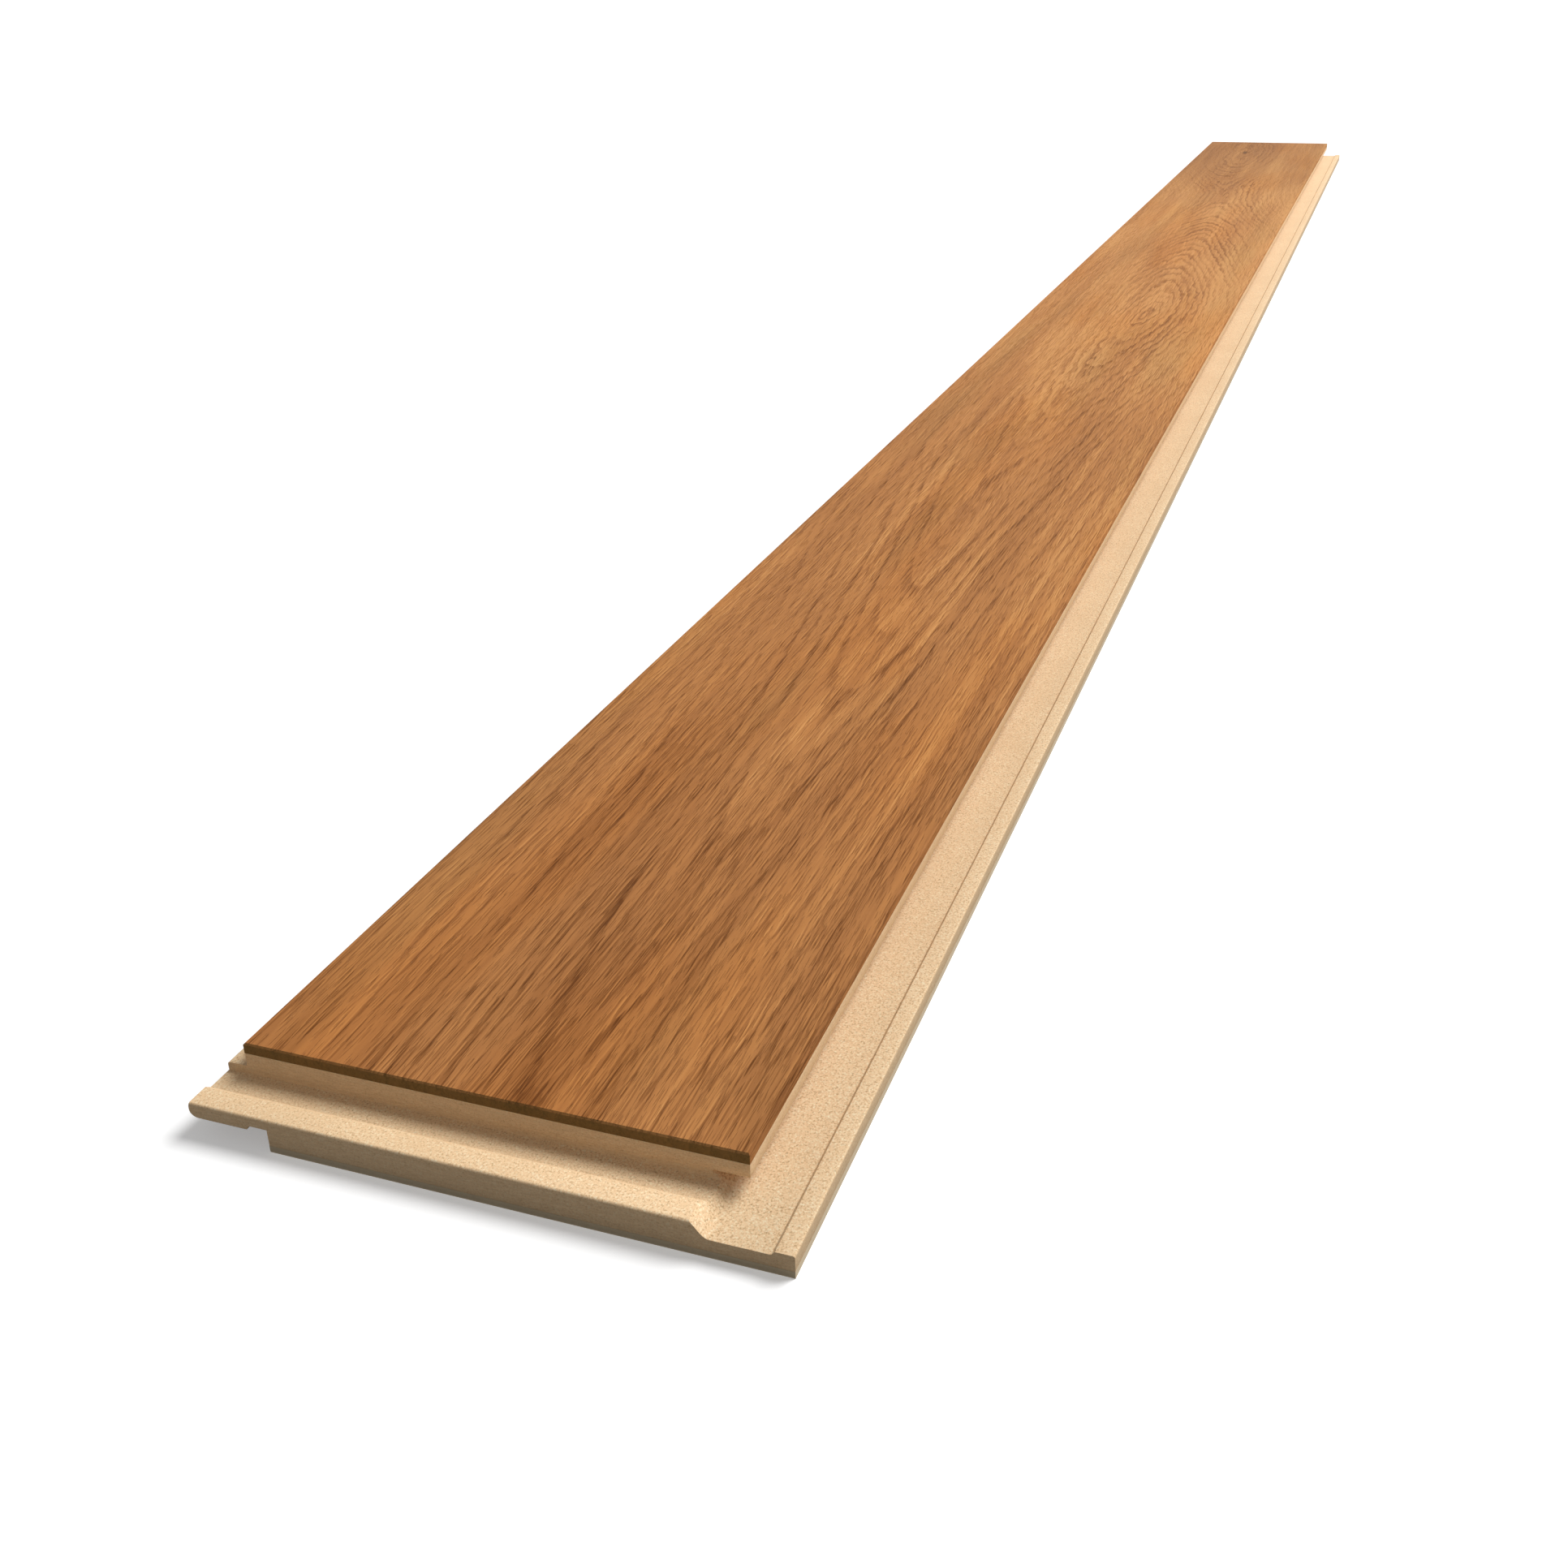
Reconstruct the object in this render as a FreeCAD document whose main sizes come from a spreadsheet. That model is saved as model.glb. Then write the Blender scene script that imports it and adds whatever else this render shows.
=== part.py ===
import FreeCAD
import Part
import Sketcher
import math
import os

# Wide plank floorboard of three glued layers: a face veneer, a fibreboard core whose
# four edges are milled to a click profile, and a backing veneer. Millimetres.
# X runs across the board from its left joint edge, Y along it from its near joint edge,
# Z up from the floor. The long left edge carries the tongue, the long right edge the groove
# and its locking strip, the near end a lower lip with a bead, the far end its overhang.

doc = FreeCAD.newDocument("wide_plank_floorboard")

SIZES = [
    ("face_length", 1830.0, "face, between the two end joints"),
    ("face_width", 127.0, "face, between the two long joints"),
    ("veneer_thickness", 2.8, "face veneer"),
    ("core_thickness", 11.4, "fibreboard core"),
    ("backing_thickness", 1.8, "backing veneer"),
    ("face_easing", 0.4, "eased arris round the face"),
    ("joint_play", 0.1, "play on every bearing face of a closed joint"),
    ("tongue_top_depth", 3.7, "tongue's upper side below the core's top"),
    ("tongue_thickness", 4.5, "tongue, upper side to underside"),
    ("tongue_reach", 5.6, "tongue's tip beyond the joint edge"),
    ("tongue_upper_radius", 0.8, "upper corner of the tongue's tip"),
    ("tongue_lower_radius", 2.5, "lower corner of the tongue's tip"),
    ("tip_room", 3.2, "free space in the groove before the tip"),
    ("groove_end_height", 0.6, "upright inner end of the groove under its roof"),
    ("groove_foot_lead", 1.4, "foot of the groove's sloping wall, outward of the tip"),
    ("groove_foot_radius", 2.0, "hollow between the sloping wall and the groove's floor"),
    ("lock_offset", 10.2, "foot of the locking ridge beyond the joint edge"),
    ("lock_lean", 0.8, "run of the locking ridge's inner flank"),
    ("lock_height", 1.0, "locking ridge above the groove's floor"),
    ("lock_width", 5.2, "locking ridge, foot to outer face"),
    ("lock_edge_radius", 0.5, "outer upper corner of the locking ridge"),
    ("lock_headroom", 0.2, "free space over a ridge or bead in its notch"),
    ("strip_room", 0.2, "free space before the strip's outer face"),
    ("lip_depth", 6.0, "end lip's channel below the core's top"),
    ("lip_reach", 15.5, "end lip beyond the near joint edge"),
    ("bead_offset", 7.1, "foot of the end bead beyond the joint edge"),
    ("bead_lean", 1.6, "run of the end bead's inner ramp"),
    ("bead_height", 1.2, "end bead above the lip's channel"),
    ("nose_lean", 0.5, "run of the nose's leaning front"),
    ("nose_height", 2.4, "leaning front, from the bead's top down"),
    ("nose_radius", 0.8, "upper edge of the nose"),
    ("lip_room", 0.2, "free space before the nose in the far end's recess"),
    ("cutter_overrun", 5.0, "milling cuts run this far out of the stock"),
]

sheet = doc.addObject("Spreadsheet::Sheet", "Sizes")
for row, (alias, size, note) in enumerate(SIZES, start=1):
    sheet.set("A%d" % row, alias.replace("_", " "))
    sheet.set("B%d" % row, str(size))
    sheet.setAlias("B%d" % row, alias)
    sheet.set("C%d" % row, note)
doc.recompute()


def value(expression):
    return float(sheet.evalExpression(expression))


def plane(body, role):
    return next(item for item in body.Origin.OriginFeatures if item.Role == role)


def new_sketch(body, name, role):
    sketch = body.newObject("Sketcher::SketchObject", name)
    sketch.AttachmentSupport = [(plane(body, role), "")]
    sketch.MapMode = "FlatFace"
    return sketch


def bind(sketch, kind, where, expression):
    """Add a dimension from the sketch's origin, or on an arc, and tie it to the sheet."""
    if kind != "Radius" and expression == "0":
        axis = -2 if kind == "DistanceX" else -1
        sketch.addConstraint(Sketcher.Constraint("PointOnObject", where[0], where[1], axis))
        return
    if kind == "Radius":
        number = sketch.addConstraint(Sketcher.Constraint(kind, where, value(expression)))
    else:
        number = sketch.addConstraint(
            Sketcher.Constraint(kind, -1, 1, where[0], where[1], value(expression)))
    sketch.setExpression("Constraints[%d]" % number, expression)


def outline(sketch, corners):
    """Close a fully constrained outline through its corners: (across, up) or (across, up, radius)."""
    count = len(corners)
    spots = [FreeCAD.Vector(value(corner[0]), value(corner[1]), 0) for corner in corners]
    radii = [value(corner[2]) if len(corner) > 2 else 0.0 for corner in corners]
    runs = [(spots[(i + 1) % count] - spots[i]).normalize() for i in range(count)]
    trims = [radii[i] * math.tan(runs[i - 1].getAngle(runs[i]) / 2) for i in range(count)]
    lines = []
    for i in range(count):
        after = (i + 1) % count
        start = spots[i] + runs[i] * trims[i]
        end = spots[after] - runs[i] * trims[after]
        lines.append(sketch.addGeometry(Part.LineSegment(start, end)))
    upright = [corners[i][0] == corners[(i + 1) % count][0] for i in range(count)]
    level = [corners[i][1] == corners[(i + 1) % count][1] for i in range(count)]
    for i in range(count):
        before = lines[i - 1]
        line = lines[i]
        anchor = (line, 1)
        if radii[i]:
            left_turn = runs[i - 1].cross(runs[i]).z > 0
            side = FreeCAD.Vector(-runs[i].y, runs[i].x, 0) * (radii[i] if left_turn else -radii[i])
            centre = spots[i] + runs[i] * trims[i] + side
            first = spots[i] - runs[i - 1] * trims[i] - centre
            last = spots[i] + runs[i] * trims[i] - centre
            if not left_turn:
                first, last = last, first
            arc = sketch.addGeometry(Part.ArcOfCircle(
                Part.Circle(centre, FreeCAD.Vector(0, 0, 1), radii[i]),
                math.atan2(first.y, first.x), math.atan2(last.y, last.x)))
            entry, leave = (1, 2) if left_turn else (2, 1)
            sketch.addConstraint(Sketcher.Constraint("Tangent", before, 2, arc, entry))
            sketch.addConstraint(Sketcher.Constraint("Tangent", arc, leave, line, 1))
            bind(sketch, "Radius", arc, corners[i][2])
            sloping = not (upright[i] or level[i]) or not (upright[i - 1] or level[i - 1])
            if sloping:
                sharp = sketch.addGeometry(Part.Point(spots[i]), True)
                sketch.addConstraint(Sketcher.Constraint("PointOnObject", sharp, 1, before))
                sketch.addConstraint(Sketcher.Constraint("PointOnObject", sharp, 1, line))
                anchor = (sharp, 1)
        else:
            sketch.addConstraint(Sketcher.Constraint("Coincident", before, 2, line, 1))
        if upright[i]:
            sketch.addConstraint(Sketcher.Constraint("Vertical", line))
            bind(sketch, "DistanceX", anchor, corners[i][0])
        elif not upright[i - 1]:
            bind(sketch, "DistanceX", anchor, corners[i][0])
        if level[i]:
            sketch.addConstraint(Sketcher.Constraint("Horizontal", line))
            bind(sketch, "DistanceY", anchor, corners[i][1])
        elif not level[i - 1]:
            bind(sketch, "DistanceY", anchor, corners[i][1])


def rectangle(sketch, left, right, near, far):
    outline(sketch, [(left, near), (right, near), (right, far), (left, far)])


def mill(body, sketch, name):
    """Cut the sketch's outline right through the stock, both ways, and see that it took something."""
    before = body.Shape.Volume
    cut = body.newObject("PartDesign::Pocket", name)
    cut.Profile = sketch
    cut.SideType = "Two sides"
    cut.Type = "ThroughAll"
    cut.Type2 = "ThroughAll"
    doc.recompute()
    if body.Shape.Volume > before - 1.0:
        raise RuntimeError(name + " cuts nothing")
    return cut


def new_body(name):
    """A body whose joint edges are placed so that the whole board is centred over the origin."""
    body = doc.addObject("PartDesign::Body", name)
    body.Label = name
    body.setExpression("Placement.Base.x", "-(" + STRIP_EDGE + " - Sizes.tongue_reach) / 2")
    body.setExpression("Placement.Base.y", "-(Sizes.face_length - Sizes.lip_reach) / 2")
    return body


# Heights of the layers and of the long joints
CORE_TOP = "Sizes.backing_thickness + Sizes.core_thickness"
CORE_BOTTOM = "Sizes.backing_thickness"
TONGUE_TOP = CORE_TOP + " - Sizes.tongue_top_depth"
TONGUE_UNDER = TONGUE_TOP + " - Sizes.tongue_thickness"
GROOVE_ROOF = TONGUE_TOP + " + Sizes.joint_play"
GROOVE_SHOULDER = GROOVE_ROOF + " - Sizes.groove_end_height"
GROOVE_FLOOR = TONGUE_UNDER + " - Sizes.joint_play"
LOCK_TOP = GROOVE_FLOOR + " + Sizes.lock_height"
NOTCH_ROOF = LOCK_TOP + " + Sizes.lock_headroom"

# Places across the board
TONGUE_TIP = "-Sizes.tongue_reach"
RIGHT_EDGE = "Sizes.face_width"
GROOVE_END = RIGHT_EDGE + " - Sizes.tongue_reach - Sizes.tip_room"
GROOVE_FOOT = RIGHT_EDGE + " - Sizes.tongue_reach + Sizes.groove_foot_lead"
LOCK_FOOT = RIGHT_EDGE + " + Sizes.lock_offset"
LOCK_CREST = LOCK_FOOT + " + Sizes.lock_lean"
STRIP_EDGE = LOCK_FOOT + " + Sizes.lock_width"
NOTCH_FOOT = "Sizes.lock_offset - Sizes.joint_play"
NOTCH_CREST = NOTCH_FOOT + " + Sizes.lock_lean"
LOWER_LEFT = "Sizes.lock_offset + Sizes.lock_width + Sizes.strip_room"

# Heights and places along the board of the end joints
LIP_FLOOR = CORE_TOP + " - Sizes.lip_depth"
BEAD_TOP = LIP_FLOOR + " + Sizes.bead_height"
OVERHANG_UNDER = LIP_FLOOR + " + Sizes.joint_play"
BEAD_ROOF = BEAD_TOP + " + Sizes.lock_headroom"
NOSE = "-Sizes.lip_reach"
NOSE_CREST = NOSE + " + Sizes.nose_lean"
NOSE_FOOT = BEAD_TOP + " - Sizes.nose_height"
BEAD_FOOT = "-Sizes.bead_offset"
BEAD_CREST = BEAD_FOOT + " - Sizes.bead_lean"
HOOK_FOOT = "Sizes.face_length - Sizes.bead_offset + Sizes.joint_play"
HOOK_CREST = HOOK_FOOT + " - Sizes.bead_lean"
LOWER_FAR = "Sizes.face_length - Sizes.lip_reach - Sizes.lip_room"

# Fibreboard core: the section of the long joints, drawn on the near joint plane
core = new_body("core_board")
section = new_sketch(core, "long_joint_section", "XZ_Plane")
outline(section, [
    ("0", CORE_TOP),
    (RIGHT_EDGE, CORE_TOP),
    (RIGHT_EDGE, GROOVE_ROOF),
    (GROOVE_END, GROOVE_ROOF),
    (GROOVE_END, GROOVE_SHOULDER),
    (GROOVE_FOOT, GROOVE_FLOOR, "Sizes.groove_foot_radius"),
    (LOCK_FOOT, GROOVE_FLOOR),
    (LOCK_CREST, LOCK_TOP),
    (STRIP_EDGE, LOCK_TOP, "Sizes.lock_edge_radius"),
    (STRIP_EDGE, CORE_BOTTOM),
    (LOWER_LEFT, CORE_BOTTOM),
    (LOWER_LEFT, NOTCH_ROOF),
    (NOTCH_CREST, NOTCH_ROOF),
    (NOTCH_FOOT, TONGUE_UNDER),
    (TONGUE_TIP, TONGUE_UNDER, "Sizes.tongue_lower_radius"),
    (TONGUE_TIP, TONGUE_TOP, "Sizes.tongue_upper_radius"),
    ("0", TONGUE_TOP),
])
stock = core.newObject("PartDesign::Pad", "profiled_stock")
stock.Profile = section
stock.SideType = "Two sides"
stock.setExpression("Length", "Sizes.lip_reach")
stock.setExpression("Length2", "Sizes.face_length")
doc.recompute()

# Near end: the channel over the lower lip, the ramped bead along it and its leaning nose
lip = new_sketch(core, "end_lip_outline", "YZ_Plane")
outline(lip, [
    ("0", CORE_TOP + " + Sizes.cutter_overrun"),
    ("0", LIP_FLOOR),
    (BEAD_FOOT, LIP_FLOOR),
    (BEAD_CREST, BEAD_TOP),
    (NOSE_CREST, BEAD_TOP, "Sizes.nose_radius"),
    (NOSE, NOSE_FOOT),
    (NOSE, CORE_BOTTOM),
    (NOSE + " - Sizes.cutter_overrun", CORE_BOTTOM),
    (NOSE + " - Sizes.cutter_overrun", CORE_TOP + " + Sizes.cutter_overrun"),
])
mill(core, lip, "end_lip")

# Far end: the overhang that closes over a neighbour's lip, with the notch for its bead
hook = new_sketch(core, "end_overhang_outline", "YZ_Plane")
outline(hook, [
    ("Sizes.face_length + Sizes.cutter_overrun", OVERHANG_UNDER),
    (HOOK_FOOT, OVERHANG_UNDER),
    (HOOK_CREST, BEAD_ROOF),
    (LOWER_FAR, BEAD_ROOF),
    (LOWER_FAR, CORE_BOTTOM + " - Sizes.cutter_overrun"),
    ("Sizes.face_length + Sizes.cutter_overrun", CORE_BOTTOM + " - Sizes.cutter_overrun"),
])
mill(core, hook, "end_overhang")

# Face veneer over the core's upper face, its arris eased all round
veneer = new_body("face_veneer")
face = new_sketch(veneer, "face_outline", "XY_Plane")
face.setExpression("AttachmentOffset.Base.z", CORE_TOP)
rectangle(face, "0", RIGHT_EDGE, "0", "Sizes.face_length")
leaf = veneer.newObject("PartDesign::Pad", "face_leaf")
leaf.Profile = face
leaf.setExpression("Length", "Sizes.veneer_thickness")
doc.recompute()
top = max(range(len(leaf.Shape.Faces)), key=lambda i: leaf.Shape.Faces[i].CenterOfMass.z)
easing = veneer.newObject("PartDesign::Chamfer", "face_arris")
easing.Base = (leaf, ["Face%d" % (top + 1)])
easing.setExpression("Size", "Sizes.face_easing")
doc.recompute()

# Backing veneer under the core's lower face
backing = new_body("backing_veneer")
back = new_sketch(backing, "back_outline", "XY_Plane")
rectangle(back, LOWER_LEFT, STRIP_EDGE, NOSE, LOWER_FAR)
sheet_back = backing.newObject("PartDesign::Pad", "back_leaf")
sheet_back.Profile = back
sheet_back.setExpression("Length", "Sizes.backing_thickness")
doc.recompute()

for item in doc.Objects:
    if "Invalid" in item.State or "Error" in item.State:
        raise RuntimeError(item.Label + " did not recompute")

os.makedirs("parts", exist_ok=True)
for body in (veneer, core, backing):
    if body.Shape.isNull() or not body.Shape.isValid():
        raise RuntimeError(body.Label + " has no valid shape")
    if len(body.Shape.Solids) != 1:
        raise RuntimeError(body.Label + " is not one solid")
    body.Shape.exportStep("parts/" + body.Label + ".step")
    box = body.Shape.BoundBox
    print(body.Label, "%.1f mm3" % body.Shape.Volume, box)
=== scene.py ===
import math

import bpy
from bpy.props import FloatProperty, FloatVectorProperty, PointerProperty
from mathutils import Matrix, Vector


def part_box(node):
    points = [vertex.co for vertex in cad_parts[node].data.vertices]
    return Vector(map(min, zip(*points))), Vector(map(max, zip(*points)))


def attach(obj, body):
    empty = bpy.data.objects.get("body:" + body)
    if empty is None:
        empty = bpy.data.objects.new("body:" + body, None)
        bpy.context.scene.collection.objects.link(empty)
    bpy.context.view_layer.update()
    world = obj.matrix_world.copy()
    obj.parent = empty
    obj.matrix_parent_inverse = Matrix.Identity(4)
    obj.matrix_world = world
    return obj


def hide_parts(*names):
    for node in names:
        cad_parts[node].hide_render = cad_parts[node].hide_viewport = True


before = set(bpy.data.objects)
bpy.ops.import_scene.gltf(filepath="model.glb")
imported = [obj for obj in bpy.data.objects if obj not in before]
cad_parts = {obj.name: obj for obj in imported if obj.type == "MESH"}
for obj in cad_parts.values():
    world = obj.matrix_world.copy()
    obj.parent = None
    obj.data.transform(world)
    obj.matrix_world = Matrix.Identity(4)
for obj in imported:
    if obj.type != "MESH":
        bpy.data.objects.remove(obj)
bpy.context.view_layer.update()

bl_info = {
    "name": "Layered floorboard",
    "version": (1, 0, 0),
    "blender": (4, 5, 0),
    "location": "View3D > Sidebar > Floorboard",
    "description": "Dresses a three-layer click floorboard and sets a plain studio round it",
    "category": "Object",
}

MM = 0.001
VENEER_LOW, VENEER_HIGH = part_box("face_veneer")
VENEER_WIDTH = VENEER_HIGH[0] - VENEER_LOW[0]
VENEER_LENGTH = VENEER_HIGH[1] - VENEER_LOW[1]
CORE_LOW, CORE_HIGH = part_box("core_board")

# Milling of the core: how far the cutters run past it, and how its corners are rounded
CUTTER_OVERRUN = 5.0 * MM
ARC_STEPS = 8
EDGE_BREAK_STEPS = 2
CORNER_ANGLE = math.radians(32.0)

# Figure of the oak along the board, 0 at the near end and 1 at the far end: where the heart runs
# across the face, how high the rings rise, and how light the face is
HEART_LINE = ((0.0, 0.58), (0.10, 0.57), (0.20, 0.52), (0.29, 0.49), (0.37, 0.53), (0.47, 0.60),
              (0.56, 0.56), (0.70, 0.54), (0.77, 0.48), (0.83, 0.40), (0.947, 0.37), (1.0, 0.36))
RING_RISE = ((0.0, 0.80), (0.152, 0.55), (0.27, 0.33), (0.334, 0.20), (0.385, 0.11), (0.435, 0.05),
             (0.469, 0.02), (0.519, 0.075), (0.557, 0.175), (0.593, 0.30), (0.659, 0.55), (0.727, 0.85),
             (0.765, 0.92), (0.82, 0.84), (0.947, 0.45), (1.0, 0.55))
FACE_TONE = ((0.0, 0.54), (0.05, 0.57), (0.13, 0.68), (0.21, 0.76), (0.30, 0.77), (0.38, 0.86),
             (0.46, 0.91), (0.53, 0.89), (0.60, 0.86), (0.71, 0.89), (0.79, 0.84), (0.87, 0.76),
             (1.0, 0.66))
RISE_RINGS = 20.0

# The swirl's place along the board and the rings it dips; the knot's place over width and length
SWIRL_PLACE = 0.475
SWIRL_RINGS = 2.4
KNOT_PLACE = (0.37, 0.947)
KNOT_SIZE = (3.4 * MM, 16.0 * MM)

# How far heart and grain wander, and how far beside the heart the rings are clear, then faint
HEART_WANDER = 16.0 * MM
GRAIN_DRIFT = 6.0 * MM
FIGURE_LEAN = 8.0 * MM
FIGURE_CLEAR, FIGURE_FAINT = 16.0 * MM, 42.0 * MM
OAK_GLOSS = 0.06

# How dark one growth ring is, from its spring wood to its summer wood
SPRING_WOOD = ((0.0, 0.0), (0.12, 1.0), (0.27, 0.78), (0.46, 0.22), (0.70, 0.03), (1.0, 0.0))

# Cells of the oak's noise: width, length and height in metres, then how far the pattern is shifted
DRIFT_CELL = (0.030, 0.16, 0.05, (1.0, 8.0, 0.0))
SLOW_CELL = (0.050, 0.24, 0.20)
WAVE_CELL = (0.008, 0.034, 0.20, (3.1, 0.7, 0.0))
TEETH_CELL = (0.0026, 0.013, 0.20, (5.3, 2.9, 0.0))
PATCH_CELL = (0.014, 0.070, 0.05, (7.0, 5.0, 0.0))
CLOUD_CELL = (0.030, 0.26, 0.05, (2.0, 4.0, 0.0))
CALM_CELL = (0.016, 0.10, 0.05, (6.0, 3.0, 0.0))
WARM_CELL = (0.035, 0.18, 0.05, (9.0, 2.0, 0.0))
COOL_CELL = (0.030, 0.26, 0.05, (4.0, 6.0, 0.0))

# The same for the core and the backing, with the depth of their relief
CORE_CLOUD_CELL = (0.030, 0.030, 0.030)
CORE_RELIEF = 0.06 * MM
BACKING_STREAK_LENGTH = 0.28
BACKING_CLOUD_CELL = (0.050, 0.30, 0.050, (2.0, 5.0, 0.0))
BACKING_FIBRE_CELL = (0.0006, 0.030, 0.0006, (0.0, 1.0, 0.0))
BACKING_RELIEF = 0.05 * MM

# Studio: the floor lies a hair under the board, and is paler where it is seen than where it lights
SENSOR_WIDTH = 36.0
CLIP_NEAR, CLIP_FAR = 0.01, 200.0
FLOOR_DROP = 0.05 * MM
FLOOR_TOUCH = 0.5 * MM
FLOOR_SHADE = (0.24, 0.24, 0.24, 1.0)
FLOOR_SEEN = (0.86, 0.86, 0.86, 1.0)
FLOOR_LIFT = 0.30
WHITE = (1.0, 1.0, 1.0, 1.0)
SEEN_RAYS = ("Is Camera Ray", "Is Glossy Ray", "Is Transmission Ray")


def length_prop(name, description, size):
    """A length in metres that a user may change."""
    return FloatProperty(name=name, description=description, default=size, min=0.0, precision=5,
                         subtype="DISTANCE", unit="LENGTH")


def colour_prop(name, description, colour):
    """A colour as it is seen on screen."""
    return FloatVectorProperty(name=name, description=description, default=colour, size=3, min=0.0, max=1.0,
                               subtype="COLOR_GAMMA")


def share_prop(name, description, share):
    """A share from nothing to all."""
    return FloatProperty(name=name, description=description, default=share, min=0.0, max=1.0,
                         subtype="FACTOR")


class FaceVeneerSettings(bpy.types.PropertyGroup):
    """Oiled oak of the walking face"""
    pore: colour_prop("Pore", "Deepest tone, open pores dark with oil", (0.420, 0.249, 0.115))
    dark: colour_prop("Dark grain", "Darker spring wood", (0.546, 0.348, 0.184))
    middle: colour_prop("Middle tone", "Main tone of the face", (0.654, 0.435, 0.251))
    light: colour_prop("Light grain", "Paler summer wood", (0.742, 0.506, 0.293))
    # The flecks beside the pores are a painted highlight on the pores' lit edges, which lifts the tone
    # towards this colour
    pale: colour_prop("Fleck", "Lightest tone, flecks beside the pores", (0.847, 0.612, 0.374))
    warm: colour_prop("Warm tint", "Tint of the warm orange patches", (1.0, 0.965, 0.900))
    cool: colour_prop("Cool tint", "Tint of the greyer patches", (0.955, 0.980, 0.985))
    end_grain: colour_prop("End grain", "Sawn ends, dark with oil", (0.466, 0.394, 0.235))
    knot: colour_prop("Knot", "Pin knot near the far end", (0.270, 0.150, 0.075))
    ring_spacing: length_prop("Ring spacing", "Distance between growth rings", 4.2 * MM)
    heart_depth: length_prop("Heart depth", "How far under the face the rings' axis runs", 12.0 * MM)
    swirl_width: length_prop("Swirl width", "Half width of the tight swirl near the middle", 8.5 * MM)
    swirl_length: length_prop("Swirl length", "Half length of that swirl", 50.0 * MM)
    streak_width: length_prop("Streak width", "Width of the broader grain streaks", 6.0 * MM)
    streak_length: length_prop("Streak length", "Length of the broader grain streaks", 230.0 * MM)
    dash_width: length_prop("Dash width", "Width of the dashes where pores run together", 0.78 * MM)
    dash_length: length_prop("Dash length", "Length of those dashes", 20.0 * MM)
    pore_width: length_prop("Pore width", "Width of the single pores", 0.42 * MM)
    pore_length: length_prop("Pore length", "Length of the single pores", 11.0 * MM)
    pore_relief: length_prop("Pore relief", "Depth of the open pores", 0.10 * MM)
    roughness: share_prop("Roughness", "Roughness of the matt oil finish", 0.60)


class CoreBoardSettings(bpy.types.PropertyGroup):
    """Fibreboard core with click edges"""
    fibre: colour_prop("Fibre", "Main tone of the pressed fibre", (0.950, 0.810, 0.632))
    # The dark speck colour also paints the shade on the core's faces that look down
    dark_fleck_and_shade: colour_prop("Dark fleck", "Bark specks in the board", (0.665, 0.512, 0.340))
    light_fleck: colour_prop("Light fleck", "Pale chips in the board", (1.000, 0.945, 0.815))
    cut: colour_prop("Cut edge", "Milled edges, a little browner", (0.872, 0.732, 0.558))
    fleck_size: length_prop("Fleck size", "Size of the specks", 0.50 * MM)
    edge_break: length_prop("Edge break", "Small rounding of every milled edge", 0.14 * MM)
    tongue_top_depth: length_prop("Tongue depth", "Tongue's upper side below the core's top", 3.7 * MM)
    tongue_thickness: length_prop("Tongue thickness", "Tongue, upper side to underside", 4.5 * MM)
    tongue_reach: length_prop("Tongue reach", "Tongue's tip beyond the joint edge", 5.6 * MM)
    tongue_upper_radius: length_prop("Tongue upper radius", "Upper corner of the tip", 0.8 * MM)
    tongue_lower_radius: length_prop("Tongue lower radius", "Lower corner of the tip", 2.5 * MM)
    joint_play: length_prop("Joint play", "Play on every bearing face", 0.1 * MM)
    tip_room: length_prop("Tip room", "Free space in the groove before the tip", 3.2 * MM)
    groove_end_height: length_prop("Groove end", "Upright inner end of the groove", 0.6 * MM)
    groove_foot_lead: length_prop("Groove foot", "Foot of the sloping wall, outward of the tip", 1.4 * MM)
    groove_foot_radius: length_prop("Groove hollow", "Hollow at the sloping wall's foot", 2.0 * MM)
    lock_offset: length_prop("Lock offset", "Foot of the locking ridge beyond the joint edge", 10.2 * MM)
    lock_lean: length_prop("Lock lean", "Run of the ridge's inner flank", 0.8 * MM)
    lock_height: length_prop("Lock height", "Ridge above the groove's floor", 1.0 * MM)
    lock_width: length_prop("Lock width", "Ridge, foot to outer face", 5.2 * MM)
    lock_edge_radius: length_prop("Lock edge radius", "Outer upper corner of the ridge", 0.5 * MM)
    lock_headroom: length_prop("Lock headroom", "Free space over a ridge or bead", 0.2 * MM)
    strip_room: length_prop("Strip room", "Free space before the strip's outer face", 0.2 * MM)
    lip_depth: length_prop("Lip depth", "End lip's channel below the core's top", 6.0 * MM)
    lip_reach: length_prop("Lip reach", "End lip beyond the near joint edge", 15.5 * MM)
    bead_offset: length_prop("Bead offset", "Foot of the end bead beyond the joint edge", 7.1 * MM)
    bead_lean: length_prop("Bead lean", "Run of the bead's inner ramp", 1.6 * MM)
    bead_height: length_prop("Bead height", "End bead above the lip's channel", 1.2 * MM)
    nose_lean: length_prop("Nose lean", "Run of the nose's leaning front", 0.5 * MM)
    nose_height: length_prop("Nose height", "Leaning front, from the bead's top down", 2.4 * MM)
    nose_radius: length_prop("Nose radius", "Upper edge of the nose", 0.8 * MM)
    lip_room: length_prop("Lip room", "Free space before the nose at the far end", 0.2 * MM)
    roughness: share_prop("Roughness", "Roughness of the raw milled fibre", 0.80)


class BackingVeneerSettings(bpy.types.PropertyGroup):
    """Pale sanded balancing veneer"""
    pale: colour_prop("Pale wood", "Main tone of the backing", (0.880, 0.775, 0.640))
    streak: colour_prop("Streak", "Soft darker streaks", (0.775, 0.660, 0.515))
    grey: colour_prop("Grey cast", "Greyer cast of the sanded edge", (0.800, 0.745, 0.625))
    streak_width: length_prop("Streak width", "Width of the streaks", 3.5 * MM)
    roughness: share_prop("Roughness", "Roughness of the sanded wood", 0.68)


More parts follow.
